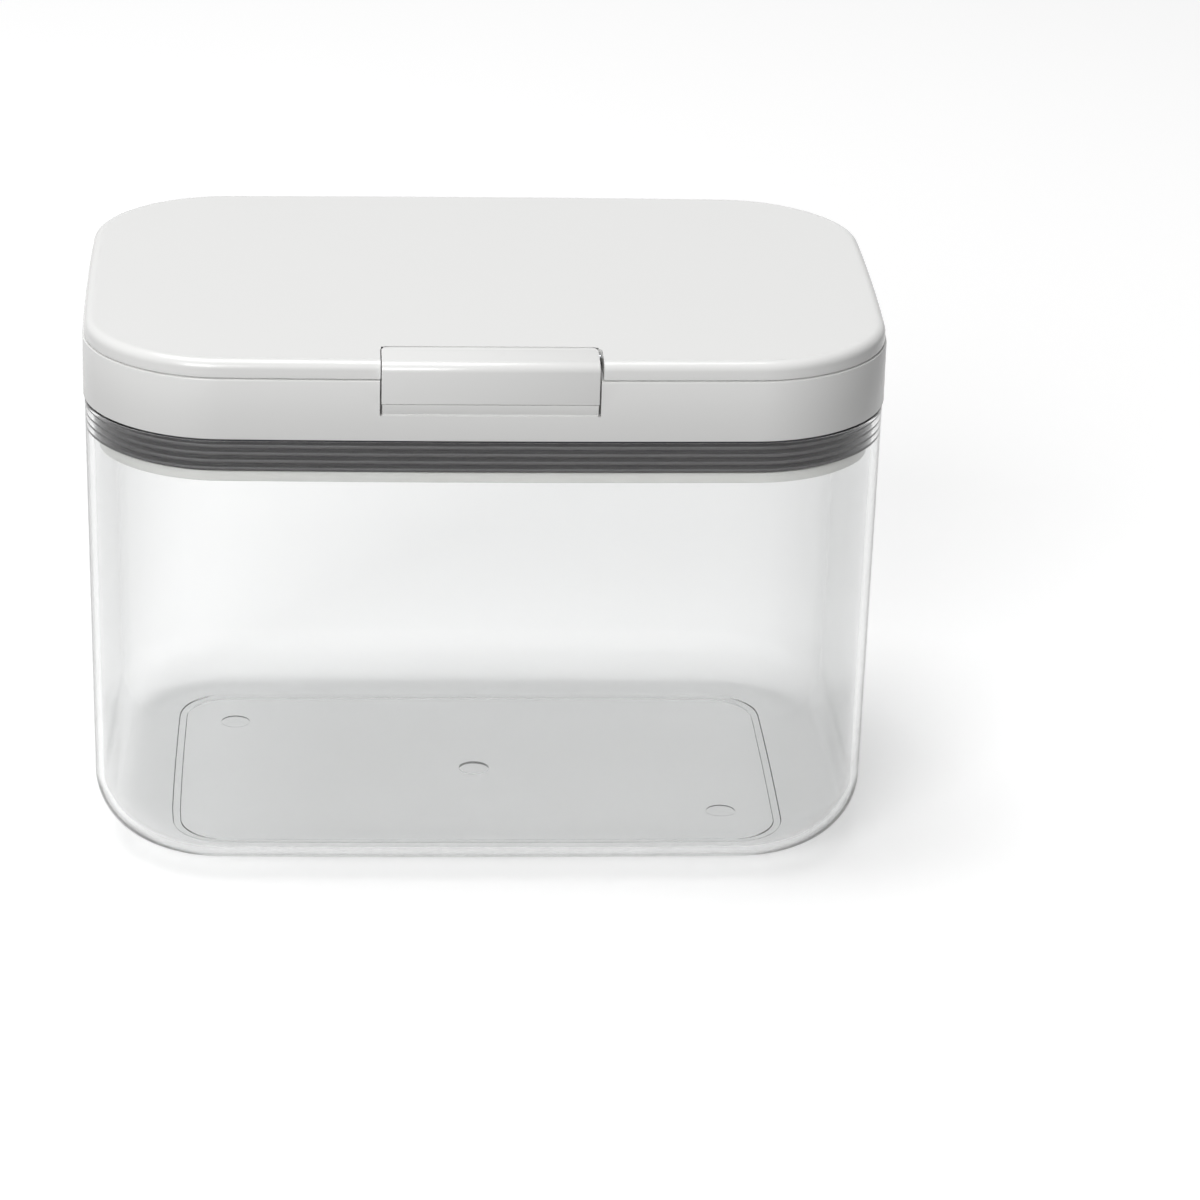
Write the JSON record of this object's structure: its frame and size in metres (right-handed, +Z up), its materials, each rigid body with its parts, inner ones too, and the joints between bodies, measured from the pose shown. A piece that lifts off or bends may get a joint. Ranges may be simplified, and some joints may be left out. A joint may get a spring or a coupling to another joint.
{
  "type": "laundry storage container",
  "caption": "Clear rounded-rectangle storage container with a white flip-top lid, ribbed rubber seal and front latch tab.",
  "frame": {"origin": "middle of the base, on the table under the foot ring", "axes": "+Z up, +X along the width to the right seen from the front, front with the latch tab at -Y"},
  "size_m": [0.254, 0.1719, 0.177],
  "materials": {
    "clear_plastic": "clear, polished",
    "white_plastic": "semi-gloss",
    "white_gloss": "gloss",
    "light_plastic": "satin",
    "seal_rubber": "satin",
    "steel": "brushed"
  },
  "bodies": {
    "container": {"container_body": "clear_plastic"},
    "lid": {"lid_band": "white_plastic", "inner_frame": "light_plastic", "lid_seal": "seal_rubber", "hinge_rod": "steel"},
    "cover": {"cover_shell": "white_gloss", "cover_liner": "light_plastic", "cover_seal": "seal_rubber", "latch_pin": "steel", "latch_spring_left": "steel", "latch_spring_right": "steel"},
    "latch": {"latch_tab": "white_gloss"}
  },
  "joints": [
    {"name": "lid_lift", "type": "slide", "parent": "container", "child": "lid", "axis": [0, 0, 1], "range_m": [0, 0.06]},
    {"name": "cover_hinge", "type": "hinge", "parent": "lid", "child": "cover", "pos_m": [0, 0.0813, 0.1648], "axis": [-1, 0, 0], "range_deg": [0, 105]},
    {"name": "tab_pivot", "type": "hinge", "parent": "cover", "child": "latch", "pos_m": [0, -0.0714, 0.174], "axis": [-1, 0, 0], "range_deg": [0, 30], "stiffness_Nm_per_rad": 0.02, "deforming": ["latch_spring_left", "latch_spring_right"]}
  ]
}
